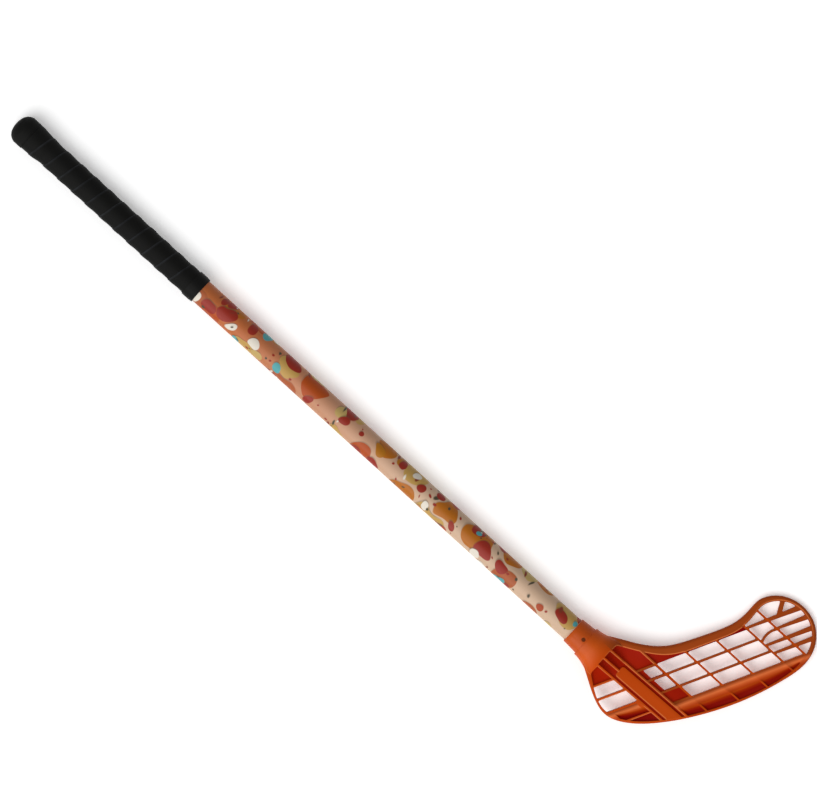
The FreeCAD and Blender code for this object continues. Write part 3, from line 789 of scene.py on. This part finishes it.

# The neck is plain orange, a little deeper on its collar, and fades into the plate behind it. Upright
# walls are painted brown, as painted shade, and a thin pale line, a painted highlight, runs along the
# rim's edges on the side away from the toe, which faces the light.
collar_end = 0.012
neck_start = 0.024
neck_fade = 0.026
neck_end = 0.0385
steep = 0.35
nearly_level = 0.75
line_reach = 0.0021
lit_side = (0.45, -0.89, 0)
line_faint = 0.05
line_full = 0.3
near_neck = add(
    tree,
    "ShaderNodeMapRange",
    {
        "Value": spread.outputs["X"],
        "From Min": mouth_x + neck_fade,
        "From Max": mouth_x + neck_end,
        "To Min": 1.0,
        "To Max": 0.0,
    },
)
surface = add(tree, "ShaderNodeNewGeometry", {})
facing = add(tree, "ShaderNodeSeparateXYZ", {"Vector": surface.outputs["Normal"]})
upright = add(tree, "ShaderNodeMath", {0: facing.outputs["Z"]}, operation="ABSOLUTE")
level = add(
    tree,
    "ShaderNodeMapRange",
    {"Value": upright.outputs["Value"], "From Min": steep, "From Max": nearly_level},
)
# Painted shade: walls that stand upright take the brown of shade.
plate_with_shaded_walls = add(
    tree,
    "ShaderNodeMix",
    {"Factor": level.outputs["Result"], "A": painted_shade_brown, "B": with_crest_highlight.outputs["Result"]},
    data_type="RGBA",
)
# Painted highlight: a pale line along the rim's rounded edges that turn towards the light.
rounded = add(tree, "ShaderNodeBevel", {"Radius": line_reach}, samples=8)
tilt = add(
    tree,
    "ShaderNodeVectorMath",
    {0: rounded.outputs["Normal"], 1: surface.outputs["Normal"]},
    operation="SUBTRACT",
)
towards = add(
    tree,
    "ShaderNodeVectorMath",
    {0: tilt.outputs["Vector"], 1: lit_side},
    operation="DOT_PRODUCT",
)
highlight_line = add(
    tree,
    "ShaderNodeMapRange",
    {"Value": towards.outputs["Value"], "From Min": line_faint, "From Max": line_full},
)
rim_highlight = add(
    tree,
    "ShaderNodeMath",
    {0: highlight_line.outputs["Result"], 1: rim_level.outputs["Value"]},
    operation="MULTIPLY",
)
with_rim_highlight = add(
    tree,
    "ShaderNodeMix",
    {"Factor": rim_highlight.outputs["Value"], "A": plate_with_shaded_walls.outputs["Result"], "B": edge_highlight_orange},
    data_type="RGBA",
)
past_collar = add(
    tree,
    "ShaderNodeMapRange",
    {
        "Value": spread.outputs["X"],
        "From Min": mouth_x + collar_end,
        "From Max": mouth_x + neck_start,
    },
)
neck = add(
    tree,
    "ShaderNodeMix",
    {"Factor": past_collar.outputs["Result"], "A": collar_orange, "B": full_orange},
    data_type="RGBA",
)
tone = add(
    tree,
    "ShaderNodeMix",
    {
        "Factor": near_neck.outputs["Result"],
        "A": with_rim_highlight.outputs["Result"],
        "B": neck.outputs["Result"],
    },
    data_type="RGBA",
)
grain = add(
    tree,
    "ShaderNodeTexNoise",
    {"Vector": place.outputs["Object"], "Scale": 1000 / grain_mm, "Detail": 2.0},
)
relief = add(
    tree,
    "ShaderNodeBump",
    {"Height": grain.outputs["Fac"], "Strength": 0.12, "Distance": 0.0001},
)
gloss = add(
    tree,
    "ShaderNodeMapRange",
    {"Value": near_neck.outputs["Result"], "To Min": plate_gloss, "To Max": neck_gloss},
)
tree.links.new(gloss.outputs["Result"], shader.inputs["Specular IOR Level"])
tree.links.new(tone.outputs["Result"], shader.inputs["Base Color"])
tree.links.new(relief.outputs["Normal"], shader.inputs["Normal"])
dress(blade, orange)
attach(blade, "root")
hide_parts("blade")


# Blade screw: a small self-tapping screw of browned steel, sunk in the neck and driven through
# its wall into the tube.

# Browned steel: a dull dark brown, a little uneven, with bare metal glinting through.
brown_steel, tree, shader = finish_of("browned_steel", Metallic=1.0, Roughness=0.38)
place = add(tree, "ShaderNodeTexCoord", {})
worn_mm = 0.6
worn = add(
    tree,
    "ShaderNodeTexNoise",
    {"Vector": place.outputs["Object"], "Scale": 1000 / worn_mm, "Detail": 3.0},
)
tone = add(
    tree,
    "ShaderNodeMix",
    {"Factor": worn.outputs["Fac"], "A": linear("#3E1C0E"), "B": linear("#5C2A14")},
    data_type="RGBA",
)
tree.links.new(tone.outputs["Result"], shader.inputs["Base Color"])
dress(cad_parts["blade_screw"], brown_steel)


# Floor: a plain white sheet under the stick, which keeps its soft shadow. Rays that show it see it
# a little paler than the light that it throws back on the stick, as a picture exposed to white does.

floor_half = 8.0
exposure_lift = 0.42
floor_grid = np.array([[(-1, -1, 0), (1, -1, 0)], [(-1, 1, 0), (1, 1, 0)]]) * floor_half
floor = skin("studio_floor", floor_grid, False, False)
paper = bpy.data.materials.new("white_studio_paper")
paper.use_nodes = True
tree = paper.node_tree
tree.nodes.clear()


def looked_at(tree):
    """1 for rays that show the backdrop itself: from the camera, off a shiny face or through
    a clear one."""
    ray = add(tree, "ShaderNodeLightPath", {})
    shiny = add(
        tree,
        "ShaderNodeMath",
        {0: ray.outputs["Is Glossy Ray"], 1: ray.outputs["Is Transmission Ray"]},
        operation="MAXIMUM",
    )
    shown = add(
        tree,
        "ShaderNodeMath",
        {0: ray.outputs["Is Camera Ray"], 1: shiny.outputs["Value"]},
        operation="MAXIMUM",
    )
    return shown.outputs["Value"]


paper_white = add(tree, "ShaderNodeBsdfDiffuse", {"Color": linear("#F3F3F3")})
lift = add(tree, "ShaderNodeMath", {0: looked_at(tree), 1: exposure_lift}, operation="MULTIPLY")
exposed = add(tree, "ShaderNodeBsdfDiffuse", {"Color": lift.outputs["Value"]})
both = add(tree, "ShaderNodeAddShader", {0: paper_white.outputs["BSDF"], 1: exposed.outputs["BSDF"]})
add(tree, "ShaderNodeOutputMaterial", {"Surface": both.outputs["Shader"]})
dress(floor, paper)


# Light: a soft box above, which casts the shadow, a long low fill on the side away from the toe,
# which lights the shaft's lower edge and casts none, and an even white surround.

for name, height, energy, breadth, casts in (
    ("top_box", 64, 1.26, 40, True),
    ("side_fill", 28, 1.4, 30, False),
):
    lamp = bpy.data.lights.new(name, "SUN")
    lamp.energy = energy
    lamp.angle = math.radians(breadth)
    lamp.use_shadow = casts
    lamp_stand = bpy.data.objects.new(name, lamp)
    bpy.context.scene.collection.objects.link(lamp_stand)
    lamp_stand.rotation_euler = (math.radians(90 - height), 0, 0)

surround_level = 0.27
surround = bpy.data.worlds.new("white_surround")
bpy.context.scene.world = surround
surround.use_nodes = True
tree = surround.node_tree
level = add(
    tree,
    "ShaderNodeMapRange",
    {"Value": looked_at(tree), "To Min": surround_level, "To Max": 1.0},
)
tree.links.new(level.outputs["Result"], tree.nodes["Background"].inputs["Strength"])
tree.nodes["Background"].inputs["Color"].default_value = (1, 1, 1, 1)


# Camera: straight above the stick, turned so that the shaft runs down to the right, with a
# long lens. The picture shows 768 mm across.

camera = bpy.data.cameras.new("overhead")
camera.sensor_width = 36
camera_height = 6.0
view_width = 0.768
view_x = 0.00228
view_y = -0.00625
view_turn = math.radians(42.324)
camera.lens = camera.sensor_width * (camera_height - axis_z) / view_width
camera.clip_end = 50
camera_rig = bpy.data.objects.new("overhead", camera)
bpy.context.scene.collection.objects.link(camera_rig)
camera_rig.location = (view_x, view_y, camera_height)
camera_rig.rotation_euler = (0, 0, view_turn)
bpy.context.scene.camera = camera_rig
bpy.context.scene.view_settings.view_transform = "Standard"
